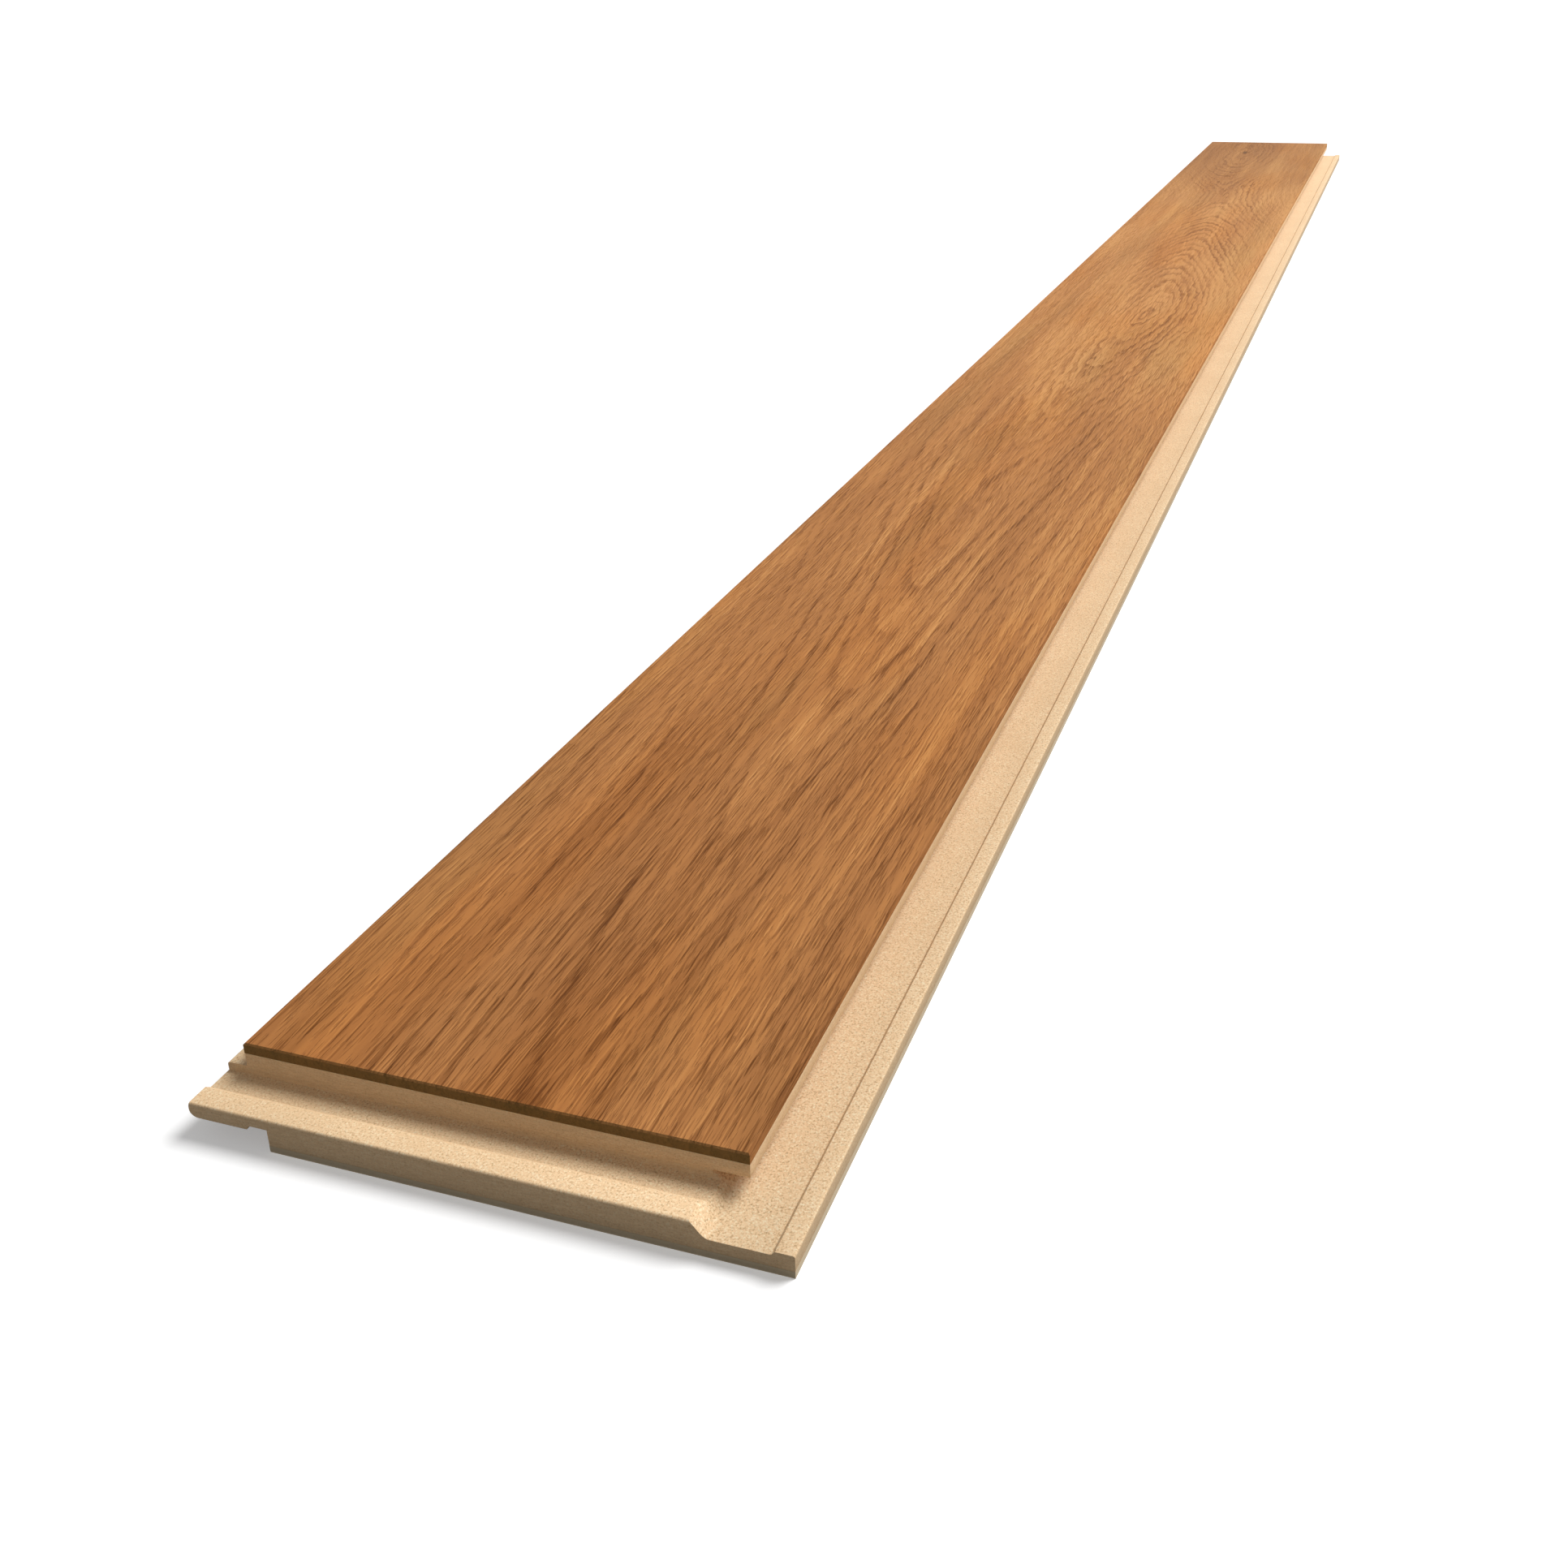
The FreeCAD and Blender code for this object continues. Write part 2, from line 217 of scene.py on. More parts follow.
class StudioSettings(bpy.types.PropertyGroup):
    """Camera, floor and lights"""
    camera_place: FloatVectorProperty(
        name="Camera place", description="Where the camera stands", size=3,
        default=(0.1637, -1.16345, 0.2454), subtype="TRANSLATION", unit="LENGTH")
    camera_turn: FloatVectorProperty(
        name="Camera turn", description="How the camera is turned", size=3,
        default=tuple(math.radians(a) for a in (62.83, 1.264, 19.762)), subtype="EULER", unit="ROTATION")
    focal_length: FloatProperty(
        name="Focal length", description="Lens on a 36 mm sensor, in millimetres",
        default=38.298, min=10.0, max=300.0)
    floor_size: length_prop("Floor size", "Side of the square floor", 60.0)
    key_strength: FloatProperty(
        name="Key strength", description="Strength of the soft key light", default=3.4, min=0.0)
    key_spread: FloatProperty(
        name="Key spread", description="Apparent width of the key light; wide is soft",
        default=math.radians(36.0), min=0.0, subtype="ANGLE", unit="ROTATION")
    key_from: FloatVectorProperty(
        name="Key from", description="Direction that the key light comes from", size=3,
        default=(4.2, 5.0, 7.4), subtype="XYZ")
    sky_strength: FloatProperty(
        name="Sky strength", description="Even light from all round", default=0.192, min=0.0)


class FloorboardSettings(bpy.types.PropertyGroup):
    """All settings of the floorboard and its studio"""
    veneer: PointerProperty(
        type=FaceVeneerSettings, name="Face veneer", description="Oiled oak of the walking face")
    core: PointerProperty(
        type=CoreBoardSettings, name="Core", description="Fibreboard core with click edges")
    backing: PointerProperty(
        type=BackingVeneerSettings, name="Backing", description="Pale balancing veneer")
    studio: PointerProperty(
        type=StudioSettings, name="Studio", description="Camera, floor and lights")


def linear(colour):
    """A colour as seen on screen, turned to the linear light that shaders work in."""
    return tuple(c / 12.92 if c <= 0.04045 else ((c + 0.055) / 1.055) ** 2.4 for c in colour) + (1.0,)


class Finish:
    """A node material under construction; most methods add one node and return its output."""

    def __init__(self, name, roughness):
        self.material = bpy.data.materials.new(name)
        self.material.use_nodes = True
        self.tree = self.material.node_tree
        self.shader = self.tree.nodes["Principled BSDF"]
        self.shader.inputs["Roughness"].default_value = roughness
        place = self.node("ShaderNodeTexCoord")
        self.object = place.outputs["Object"]
        parts = self.node("ShaderNodeSeparateXYZ")
        self.join(self.object, parts.inputs[0])
        self.x, self.y, self.z = parts.outputs
        facing = self.node("ShaderNodeSeparateXYZ")
        self.join(place.outputs["Normal"], facing.inputs[0])
        self.facing_y, self.facing_z = facing.outputs[1:]

    def node(self, kind):
        """A new node of the given kind."""
        return self.tree.nodes.new(kind)

    def join(self, source, socket):
        """Link an output to a socket, or set the socket to a plain value."""
        if isinstance(source, bpy.types.NodeSocket):
            self.tree.links.new(source, socket)
        else:
            socket.default_value = source

    def paint(self, colour, socket):
        """Link a colour to a socket, or set the socket to a colour of the settings."""
        self.join(colour if isinstance(colour, bpy.types.NodeSocket) else linear(colour), socket)

    def math(self, operation, first, second=0.0, third=0.0):
        """One sum of up to three numbers."""
        node = self.node("ShaderNodeMath")
        node.operation = operation
        for source, socket in zip((first, second, third), node.inputs):
            self.join(source, socket)
        return node.outputs[0]

    def vector(self, across, along, up):
        """Three numbers as one vector."""
        node = self.node("ShaderNodeCombineXYZ")
        for source, socket in zip((across, along, up), node.inputs):
            self.join(source, socket)
        return node.outputs[0]

    def stretched(self, across, along, up, shift=(0.0, 0.0, 0.0)):
        """Object coordinates counted in cells of the given size, in metres."""
        node = self.node("ShaderNodeMapping")
        self.join(self.object, node.inputs["Vector"])
        node.inputs["Scale"].default_value = (1.0 / across, 1.0 / along, 1.0 / up)
        node.inputs["Location"].default_value = shift
        return node.outputs[0]

    def noise(self, vector, detail=2.0, roughness=0.5):
        """Soft noise from 0 to 1, in cells one unit of the vector wide."""
        node = self.node("ShaderNodeTexNoise")
        self.join(vector, node.inputs["Vector"])
        node.inputs["Scale"].default_value = 1.0
        node.inputs["Detail"].default_value = detail
        node.inputs["Roughness"].default_value = roughness
        return node.outputs["Fac"]

    def cells(self, vector):
        """A random number for each cell of a scattered pattern."""
        node = self.node("ShaderNodeTexVoronoi")
        self.join(vector, node.inputs["Vector"])
        node.inputs["Scale"].default_value = 1.0
        split = self.node("ShaderNodeSeparateColor")
        self.join(node.outputs["Color"], split.inputs[0])
        return split.outputs[0]

    def range(self, source, low, high, to_low=0.0, to_high=1.0, smooth=True):
        """The source between low and high, spread from to_low to to_high and held beyond them."""
        node = self.node("ShaderNodeMapRange")
        node.interpolation_type = "SMOOTHSTEP" if smooth else "LINEAR"
        for value, name in ((source, "Value"), (low, "From Min"), (high, "From Max"),
                            (to_low, "To Min"), (to_high, "To Max")):
            self.join(value, node.inputs[name])
        return node.outputs["Result"]

    def curve(self, source, points):
        """A smooth curve through (place, value) points, both from 0 to 1."""
        node = self.node("ShaderNodeFloatCurve")
        self.join(source, node.inputs["Value"])
        line = node.mapping.curves[0]
        line.points[0].location = points[0]
        line.points[1].location = points[-1]
        for point in points[1:-1]:
            line.points.new(*point)
        node.mapping.update()
        return node.outputs[0]

    def ramp(self, source, colours):
        """The colours in even steps from 0 to 1."""
        node = self.node("ShaderNodeValToRGB")
        self.join(source, node.inputs["Fac"])
        stones = node.color_ramp.elements
        while len(stones) < len(colours):
            stones.new(0.5)
        for i, (stone, colour) in enumerate(zip(stones, colours)):
            stone.position = i / (len(colours) - 1)
            stone.color = linear(colour)
        return node.outputs["Color"]

    def mix(self, share, first, second, blend="MIX"):
        """A share of the second colour laid over the first."""
        node = self.node("ShaderNodeMix")
        node.data_type = "RGBA"
        node.blend_type = blend
        self.join(share, node.inputs["Factor"])
        self.paint(first, node.inputs[6])
        self.paint(second, node.inputs[7])
        return node.outputs[2]

    def bump(self, height, distance, strength):
        """Relief of the given depth in metres."""
        node = self.node("ShaderNodeBump")
        self.join(height, node.inputs["Height"])
        node.inputs["Distance"].default_value = distance
        node.inputs["Strength"].default_value = strength
        self.join(node.outputs["Normal"], self.shader.inputs["Normal"])

    def colour(self, source):
        """Paint the shader with the colour."""
        self.join(source, self.shader.inputs["Base Color"])


def growth_rings(oak, settings, across, along):
    """Rings about a wandering heart line: their spring wood, how clearly they show, and their wave."""
    heart = oak.curve(along, HEART_LINE)
    rise = oak.curve(along, RING_RISE)
    slow = oak.noise(oak.stretched(*SLOW_CELL))
    wave = oak.noise(oak.stretched(*WAVE_CELL))
    teeth = oak.noise(oak.stretched(*TEETH_CELL), 1.0)
    offset = oak.math("SUBTRACT", across, oak.math("MULTIPLY", heart, VENEER_WIDTH))
    offset = oak.math("MULTIPLY_ADD", oak.math("SUBTRACT", slow, 0.5), HEART_WANDER, offset)
    square = oak.math("MULTIPLY_ADD", offset, offset, settings.heart_depth ** 2)
    radius = oak.math("DIVIDE", oak.math("SQRT", square), settings.ring_spacing)
    count = oak.math("MULTIPLY_ADD", rise, RISE_RINGS, radius)

    # The rings dip once more at the swirl, and wave and fray beyond the near end
    swirl_x = oak.math("DIVIDE", offset, settings.swirl_width)
    swirl_y = oak.math("SUBTRACT", along, SWIRL_PLACE)
    swirl_y = oak.math("DIVIDE", swirl_y, settings.swirl_length / VENEER_LENGTH)
    swirl = oak.math("MULTIPLY_ADD", swirl_x, swirl_x, oak.math("MULTIPLY", swirl_y, swirl_y))
    swirl = oak.math("EXPONENT", oak.math("MULTIPLY", swirl, -1.0))
    count = oak.math("MULTIPLY_ADD", swirl, -SWIRL_RINGS, count)
    count = oak.math("MULTIPLY_ADD", wave, oak.range(along, 0.20, 0.40, 0.45, 1.3), count)
    count = oak.math("MULTIPLY_ADD", teeth, oak.range(along, 0.25, 0.42, 0.20, 0.90), count)

    # Each year's ring is as dark as that year made it
    year = oak.node("ShaderNodeTexWhiteNoise")
    year.noise_dimensions = "1D"
    oak.join(oak.math("FLOOR", count), year.inputs["W"])
    year_dark = oak.range(year.outputs["Value"], 0.0, 1.0, 0.30, 1.0, smooth=False)
    spring = oak.math("MULTIPLY", oak.curve(oak.math("FRACT", count), SPRING_WOOD), year_dark)

    # The rings show beside the heart, in patches
    aside = oak.math("ABSOLUTE", oak.math("SUBTRACT", offset, FIGURE_LEAN))
    aside = oak.math("MULTIPLY", aside, oak.range(along, 0.22, 0.45, 0.42, 1.0))
    patch = oak.range(oak.noise(oak.stretched(*PATCH_CELL)), 0.34, 0.60, 0.45, 1.0)
    figure = oak.math("MULTIPLY", oak.range(aside, FIGURE_CLEAR, FIGURE_FAINT, 1.0, 0.22), patch)
    return spring, figure, wave


def pin_knot(oak, wave):
    """Share of the knot's colour: full at its middle, with a wavy rim."""
    knot_x = oak.math("SUBTRACT", oak.x, VENEER_LOW[0] + KNOT_PLACE[0] * VENEER_WIDTH)
    knot_y = oak.math("SUBTRACT", oak.y, VENEER_LOW[1] + KNOT_PLACE[1] * VENEER_LENGTH)
    knot_x = oak.math("DIVIDE", knot_x, KNOT_SIZE[0])
    knot_y = oak.math("DIVIDE", knot_y, KNOT_SIZE[1])
    away = oak.math("MULTIPLY_ADD", knot_x, knot_x, oak.math("MULTIPLY", knot_y, knot_y))
    return oak.range(oak.math("MULTIPLY_ADD", wave, 0.9, oak.math("SQRT", away)), 1.60, 0.60)


def oak_face(settings):
    """Flat-sawn oak: growth rings, streaks, dashes and pores along the grain, and a pin knot."""
    oak = Finish("oiled_oak", settings.roughness)
    oak.shader.inputs["Specular IOR Level"].default_value = OAK_GLOSS
    across = oak.math("SUBTRACT", oak.x, VENEER_LOW[0])
    along = oak.math("DIVIDE", oak.math("SUBTRACT", oak.y, VENEER_LOW[1]), VENEER_LENGTH)
    spring, figure, wave = growth_rings(oak, settings, across, along)

    # The grain drifts a little from side to side
    drift = oak.noise(oak.stretched(*DRIFT_CELL), 1.0)
    grain_x = oak.math("MULTIPLY_ADD", drift, GRAIN_DRIFT, oak.x)

    def streaks(wide, long, detail, roughness=0.5, aside=0.0):
        """Noise drawn out along the grain, in cells of the given width and length."""
        cell = oak.vector(oak.math("DIVIDE", oak.math("ADD", grain_x, aside), wide),
                          oak.math("DIVIDE", oak.y, long), oak.math("DIVIDE", oak.z, wide))
        return oak.noise(cell, detail, roughness)

    grain = streaks(settings.streak_width, settings.streak_length, 3.0, 0.8)
    dash = streaks(settings.dash_width, settings.dash_length, 1.0)
    # Shifted copies of the dash and pore noise paint a highlight on one edge of each dash and pore, as if
    # that side caught the light
    painted_dash_highlight = streaks(settings.dash_width, settings.dash_length, 1.0, aside=settings.dash_width * 0.6)
    fine = streaks(settings.pore_width, settings.pore_length, 2.0)
    painted_pore_highlight = streaks(settings.pore_width, settings.pore_length, 2.0, aside=settings.pore_width * 0.7)

    # Dashes and pores gather in the spring wood and thin out in calm patches
    calm = oak.noise(oak.stretched(*CALM_CELL))
    still = oak.math("MULTIPLY", oak.math("SUBTRACT", 0.5, calm), 0.16)
    dashes = oak.range(oak.math("ADD", oak.math("MULTIPLY_ADD", spring, 0.05, dash), still), 0.56, 0.60)
    pores = oak.range(oak.math("ADD", oak.math("MULTIPLY_ADD", spring, 0.05, fine), still), 0.56, 0.62)

    # Ring lines are broken along the dashes, and strongest about the swirl
    broken = oak.range(dash, 0.34, 0.58, oak.range(along, 0.30, 0.50, 0.35, 0.70), 1.0)
    rings = oak.math("MULTIPLY", oak.math("MULTIPLY", spring, figure), broken)
    ring_depth = oak.math("MULTIPLY", oak.range(along, 0.26, 0.46, -0.27, -0.49),
                          oak.range(along, 0.80, 0.90, 1.0, 0.45))

    # All of it adds up to one tone from dark to pale
    tone = oak.curve(along, FACE_TONE)
    side = oak.math("SUBTRACT", oak.math("DIVIDE", across, VENEER_WIDTH), 0.5)
    cloud = oak.math("SUBTRACT", oak.noise(oak.stretched(*CLOUD_CELL), 1.0), 0.5)
    for layer, strength in (
            (side, 0.14),
            (cloud, 0.50),
            (oak.math("SUBTRACT", grain, 0.5), oak.range(along, 0.15, 0.50, 0.95, 0.62)),
            (rings, ring_depth),
            # Painted highlight beside each dash and pore
            (oak.range(painted_dash_highlight, 0.56, 0.63), 0.13),
            (oak.range(painted_pore_highlight, 0.55, 0.65), 0.06),
            (dashes, oak.range(along, 0.12, 0.60, -0.22, -0.15)),
            (pores, oak.range(along, 0.12, 0.60, -0.17, -0.09))):
        tone = oak.math("MULTIPLY_ADD", layer, strength, tone)
    tone = oak.ramp(tone, (settings.pore, settings.dark, settings.middle, settings.light, settings.pale))

    # Warm and cool patches, cooler all over towards the far end
    warm = oak.range(oak.noise(oak.stretched(*WARM_CELL)), 0.45, 0.70, 0.0, 0.80)
    cool = oak.range(oak.noise(oak.stretched(*COOL_CELL)), 0.48, 0.72, 0.0, 0.80)
    cool = oak.math("MAXIMUM", cool, oak.range(along, 0.62, 0.92, 0.0, 0.85))
    tone = oak.mix(warm, tone, settings.warm, "MULTIPLY")
    tone = oak.mix(cool, tone, settings.cool, "MULTIPLY")
    tone = oak.mix(oak.math("MULTIPLY", pin_knot(oak, wave), 0.70), tone, settings.knot)

    # End grain drinks more oil and goes darker
    end = oak.range(oak.math("ABSOLUTE", oak.facing_y), 0.5, 0.9)
    tone = oak.mix(oak.math("MULTIPLY", end, 0.75), tone, settings.end_grain)
    oak.colour(tone)
    oak.join(oak.math("MULTIPLY_ADD", pores, 0.15, settings.roughness), oak.shader.inputs["Roughness"])
    height = oak.math("MULTIPLY_ADD", pores, -1.0, oak.math("MULTIPLY", fine, 0.35))
    height = oak.math("MULTIPLY", height, oak.math("SUBTRACT", 1.0, end))
    oak.bump(height, settings.pore_relief, 0.9)
    return oak.material


def pressed_fibre(settings):
    """Fibreboard: a speckle of pale chips and bark specks, layered on milled edges, darker brown underneath
    as painted shade.
    """
    board = Finish("pressed_fibre", settings.roughness)
    size = settings.fleck_size
    upright = board.range(board.math("ABSOLUTE", board.facing_z), 0.75, 0.35)
    cloud = board.noise(board.stretched(*CORE_CLOUD_CELL))
    chips = board.noise(board.stretched(size, size * 1.15, size * 0.8), 3.0, 0.65)
    dust = board.noise(board.stretched(size * 0.35, size * 0.35, size * 0.3, (5.0, 0.0, 0.0)), 2.0)
    specks = board.cells(board.stretched(size * 0.8, size * 0.9, size * 0.7))
    layers = board.noise(board.stretched(size * 6.0, size * 6.0, size * 0.55, (0.0, 3.0, 0.0)), 3.0, 0.6)
    tone = board.mix(board.range(chips, 0.47, 0.32, 0.0, 0.70), settings.fibre, settings.dark_fleck_and_shade)
    tone = board.mix(board.range(chips, 0.53, 0.68, 0.0, 0.85), tone, settings.light_fleck)
    tone = board.mix(board.range(specks, 0.86, 0.98, 0.0, 0.30), tone, settings.dark_fleck_and_shade)
    tone = board.mix(board.range(specks, 0.16, 0.03, 0.0, 0.45), tone, settings.light_fleck)
    tone = board.mix(board.range(dust, 0.52, 0.72, 0.0, 0.30), tone, settings.cut)
    tone = board.mix(board.range(cloud, 0.35, 0.70, 0.0, 0.25), tone, settings.cut)
    cut = board.mix(board.range(layers, 0.35, 0.65), settings.cut, settings.fibre)
    tone = board.mix(board.math("MULTIPLY", upright, 0.55), tone, cut)
    # Painted shade: faces that look down, such as the groove's roof, take the dark speck colour, which
    # darkens the light that bounces in the groove
    under = board.range(board.facing_z, -0.3, -0.8, 0.0, 0.75)
    tone = board.mix(under, tone, settings.dark_fleck_and_shade)
    board.colour(tone)
    height = board.math("MULTIPLY_ADD", dust, 0.6, chips)
    board.bump(height, CORE_RELIEF, 0.6)
    return board.material


def sanded_backing(settings):
    """Pale rotary-cut veneer: soft long streaks, a faint cloud and greyer edges."""
    pale = Finish("sanded_backing", settings.roughness)
    wide = settings.streak_width
    streaks = pale.noise(pale.stretched(wide, BACKING_STREAK_LENGTH, wide * 0.6), 4.0, 0.6)
    cloud = pale.noise(pale.stretched(*BACKING_CLOUD_CELL))
    fibre = pale.noise(pale.stretched(*BACKING_FIBRE_CELL), 2.0, 0.6)
    edge = pale.range(pale.math("ABSOLUTE", pale.facing_z), 0.8, 0.4)
    tone = pale.mix(pale.range(streaks, 0.45, 0.75, 0.0, 0.60), settings.pale, settings.streak)
    tone = pale.mix(pale.range(cloud, 0.45, 0.75, 0.0, 0.40), tone, settings.streak)
    tone = pale.mix(pale.range(fibre, 0.55, 0.72, 0.0, 0.40), tone, settings.streak)
    tone = pale.mix(pale.math("MULTIPLY", edge, 0.55), tone, settings.grey)
    pale.colour(tone)
    pale.bump(fibre, BACKING_RELIEF, 0.5)
    return pale.material


def rounded(corners):
    """Points of a closed outline through corners (across, up, radius if any), each radius a fine arc."""
    spots = [Vector(corner[:2]) for corner in corners]
    points = []
    for i, corner in enumerate(corners):
        radius = corner[2] if len(corner) > 2 else 0.0
        if not radius:
            points.append(spots[i])
            continue
        before = (spots[i] - spots[i - 1]).normalized()
        after = (spots[(i + 1) % len(spots)] - spots[i]).normalized()
        turn = before.angle_signed(after)
        trim = radius * math.tan(abs(turn) / 2)
        start = spots[i] - before * trim
        side = Vector((-before.y, before.x)) * (radius if before.cross(after) > 0 else -radius)
        centre = start + side
        spread = abs(turn) if before.cross(after) > 0 else -abs(turn)
        arm = start - centre
        for step in range(ARC_STEPS + 1):
            angle = spread * step / ARC_STEPS
            points.append(centre + Vector((arm.x * math.cos(angle) - arm.y * math.sin(angle),
                                           arm.x * math.sin(angle) + arm.y * math.cos(angle))))
    return points


def section_curve(name, points):
    """A closed flat curve through the points of a section."""
    curve = bpy.data.curves.new(name, "CURVE")
    curve.dimensions = "3D"
    line = curve.splines.new("POLY")
    line.points.add(len(points) - 1)
    for spot, point in zip(line.points, points):
        spot.co = (point.x, point.y, 0.0, 1.0)
    line.use_cyclic_u = True
    section = bpy.data.objects.new(name, curve)
    bpy.context.scene.collection.objects.link(section)
    return section


def milling_tree():
    """Sweep one section along the board and one across it, and keep the wood that both leave."""
    tree = bpy.data.node_groups.new("board_milling", "GeometryNodeTree")
    for name, kind in (("Long joints", "Object"), ("End joints", "Object"), ("Near", "Float"),
                       ("Far", "Float"), ("Left", "Float"), ("Right", "Float"), ("Material", "Material")):
        tree.interface.new_socket(name, in_out="INPUT", socket_type="NodeSocket" + kind)
    tree.interface.new_socket("Board", in_out="OUTPUT", socket_type="NodeSocketGeometry")
    sizes = tree.nodes.new("NodeGroupInput").outputs

    def swept(section, axis, start, end):
        """A closed bar of the section along one axis, the section's second direction upright."""
        shape = tree.nodes.new("GeometryNodeObjectInfo")
        tree.links.new(sizes[section], shape.inputs["Object"])
        path = tree.nodes.new("GeometryNodeCurvePrimitiveLine")
        for place, socket in ((start, "Start"), (end, "End")):
            spot = tree.nodes.new("ShaderNodeCombineXYZ")
            tree.links.new(sizes[place], spot.inputs[axis])
            tree.links.new(spot.outputs[0], path.inputs[socket])
        upright = tree.nodes.new("GeometryNodeSetCurveTilt")
        upright.inputs["Tilt"].default_value = math.pi
        tree.links.new(path.outputs[0], upright.inputs["Curve"])
        bar = tree.nodes.new("GeometryNodeCurveToMesh")
        bar.inputs["Fill Caps"].default_value = True
        tree.links.new(upright.outputs[0], bar.inputs["Curve"])
        tree.links.new(shape.outputs["Geometry"], bar.inputs["Profile Curve"])
        return bar.outputs[0]

    both = tree.nodes.new("GeometryNodeMeshBoolean")
    both.operation = "INTERSECT"
    both.solver = "EXACT"
    tree.links.new(swept("Long joints", "Y", "Far", "Near"), both.inputs["Mesh 2"])
    tree.links.new(swept("End joints", "X", "Left", "Right"), both.inputs["Mesh 2"])
    real = tree.nodes.new("GeometryNodeRealizeInstances")
    tree.links.new(both.outputs["Mesh"], real.inputs["Geometry"])
    finish = tree.nodes.new("GeometryNodeSetMaterial")
    tree.links.new(real.outputs["Geometry"], finish.inputs["Geometry"])
    tree.links.new(sizes["Material"], finish.inputs["Material"])
    tree.links.new(finish.outputs["Geometry"], tree.nodes.new("NodeGroupOutput").inputs["Board"])
    return tree


def milled(name, choices):
    """A new object holding the milling tree's result; choices gives each named input its value."""
    board = bpy.data.objects.new(name, bpy.data.meshes.new(name))
    bpy.context.scene.collection.objects.link(board)
    maker = board.modifiers.new("milling", "NODES")
    maker.node_group = milling_tree()
    for socket in maker.node_group.interface.items_tree:
        if socket.in_out == "INPUT":
            maker[socket.identifier] = choices[socket.name]
    applied(board)
    return board


def applied(board):
    """The board's mesh with its modifiers made real, and the modifiers taken off."""
    bpy.context.view_layer.update()
    finished = board.evaluated_get(bpy.context.evaluated_depsgraph_get())
    mesh = bpy.data.meshes.new_from_object(finished)
    old = board.data
    board.modifiers.clear()
    board.data = mesh
    bpy.data.meshes.remove(old)
    return mesh


def dress(node, material):
    """Give a CAD node the material in place of its plain one."""
    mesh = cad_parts[node].data
    mesh.materials.clear()
    mesh.materials.append(material)


class FLOORBOARD_OT_face_veneer(bpy.types.Operator):
    """Give the face veneer its oiled oak"""
    bl_idname = "floorboard.face_veneer"
    bl_label = "Face veneer"

    def execute(self, context):
        dress("face_veneer", oak_face(context.scene.floorboard.veneer))
        return {"FINISHED"}


class FLOORBOARD_OT_core_board(bpy.types.Operator):
    """Mill the fibreboard core with its click edges finely rounded"""
    bl_idname = "floorboard.core_board"
    bl_label = "Core board"

    def execute(self, context):
        size = context.scene.floorboard.core
        left, near = VENEER_LOW[:2]
        right, far = VENEER_HIGH[:2]
        bottom, top = CORE_LOW[2], CORE_HIGH[2]
        over, under = top + CUTTER_OVERRUN, bottom - CUTTER_OVERRUN

        # Long joints: tongue and notch on the left, groove, strip and locking ridge on the right
        tongue_top = top - size.tongue_top_depth
        tongue_under = tongue_top - size.tongue_thickness
        groove_roof = tongue_top + size.joint_play
        groove_floor = tongue_under - size.joint_play
        groove_end = right - size.tongue_reach - size.tip_room
        lock_foot = right + size.lock_offset
        lock_top = groove_floor + size.lock_height
        strip_edge = lock_foot + size.lock_width
        notch_roof = lock_top + size.lock_headroom
        notch_foot = left + size.lock_offset - size.joint_play
        lower_left = left + size.lock_offset + size.lock_width + size.strip_room
        tip = left - size.tongue_reach
        long_joints = rounded([
            (left, top), (right, top), (right, groove_roof), (groove_end, groove_roof),
            (groove_end, groove_roof - size.groove_end_height),
            (right - size.tongue_reach + size.groove_foot_lead, groove_floor, size.groove_foot_radius),
            (lock_foot, groove_floor), (lock_foot + size.lock_lean, lock_top),
            (strip_edge, lock_top, size.lock_edge_radius), (strip_edge, bottom), (lower_left, bottom),
            (lower_left, notch_roof), (notch_foot + size.lock_lean, notch_roof), (notch_foot, tongue_under),
            (tip, tongue_under, size.tongue_lower_radius), (tip, tongue_top, size.tongue_upper_radius),
            (left, tongue_top)])

        # End joints: lip and bead at the near end, the hook over them at the far end
        lip_floor = top - size.lip_depth
        bead_top = lip_floor + size.bead_height
        bead_foot = near - size.bead_offset
        nose = near - size.lip_reach
        hook_foot = far - size.bead_offset + size.joint_play
        hook_under = lip_floor + size.joint_play
        bead_roof = bead_top + size.lock_headroom
        lower_far = far - size.lip_reach - size.lip_room
        end_joints = rounded([
            (near, over), (near, lip_floor), (bead_foot, lip_floor), (bead_foot - size.bead_lean, bead_top),
            (nose + size.nose_lean, bead_top, size.nose_radius), (nose, bead_top - size.nose_height),
            (nose, under), (lower_far, under), (lower_far, bead_roof),
            (hook_foot - size.bead_lean, bead_roof), (hook_foot, hook_under), (far, hook_under), (far, over)])

        sections = [section_curve("long_joints", long_joints), section_curve("end_joints", end_joints)]
        core = milled("core_board_milled", {
            "Long joints": sections[0], "End joints": sections[1],
            "Near": nose - CUTTER_OVERRUN, "Far": far + CUTTER_OVERRUN,
            "Left": tip - CUTTER_OVERRUN, "Right": strip_edge + CUTTER_OVERRUN,
            "Material": pressed_fibre(size)})
        for section in sections:
            bpy.data.objects.remove(section)
        if not core.data.polygons:
            raise RuntimeError("the milling left nothing of the core")
        ease = core.modifiers.new("edge break", "BEVEL")
        ease.width = size.edge_break
        ease.segments = EDGE_BREAK_STEPS
        ease.limit_method = "ANGLE"
        ease.angle_limit = CORNER_ANGLE
        mesh = applied(core)
        mesh.shade_smooth()
        mesh.set_sharp_from_angle(angle=CORNER_ANGLE)
        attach(core, "root")
        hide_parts("core_board")
        return {"FINISHED"}


class FLOORBOARD_OT_backing_veneer(bpy.types.Operator):
    """Give the backing veneer its pale sanded wood"""
    bl_idname = "floorboard.backing_veneer"
    bl_label = "Backing veneer"

    def execute(self, context):
        dress("backing_veneer", sanded_backing(context.scene.floorboard.backing))
        return {"FINISHED"}


